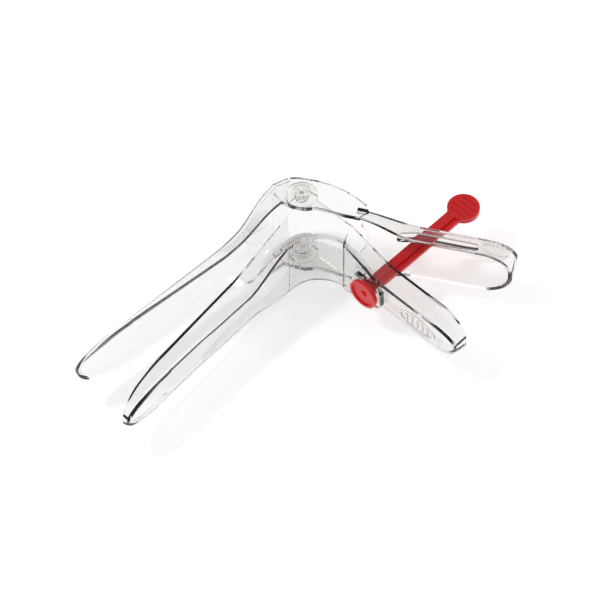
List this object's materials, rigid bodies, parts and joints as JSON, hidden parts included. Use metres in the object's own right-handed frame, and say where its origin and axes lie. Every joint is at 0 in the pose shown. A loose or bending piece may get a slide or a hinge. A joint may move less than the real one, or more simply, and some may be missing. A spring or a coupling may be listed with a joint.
{
  "type": "bivalve speculum",
  "caption": "Clear plastic bivalve speculum lying on its side, hinged duckbill blades with trough handles, held by a red ratchet bar.",
  "frame": {"origin": "on the hinge axis, at the flat outer face of the bottom hinge stud, which is the resting face", "axes": "+Z along the hinge axis, upwards from the resting face; the lower valve's blade runs along -X and its handle roughly along -Y; +Y is the upper valve's side"},
  "size_m": [0.169, 0.1117, 0.04],
  "materials": {
    "clear_plastic": "polished clear",
    "red_plastic": "glossy"
  },
  "bodies": {
    "lower_body": {"lower_valve": "clear_plastic", "hinge_stud_top": "clear_plastic", "hinge_stud_bottom": "clear_plastic"},
    "upper_body": {"upper_valve": "clear_plastic"},
    "bar_body": {"locking_bar": "red_plastic", "bar_head": "red_plastic"}
  },
  "joints": [
    {"name": "valve_hinge", "type": "hinge", "parent": "lower_body", "child": "upper_body", "pos_m": [0, 0, 0.02], "axis": [0, 0, 1], "range_deg": [-12, 12.2]},
    {"name": "bar_slide", "type": "slide", "parent": "lower_body", "child": "bar_body", "axis": [0.9952, -0.0976, 0], "range_m": [-0.01, 0]}
  ]
}
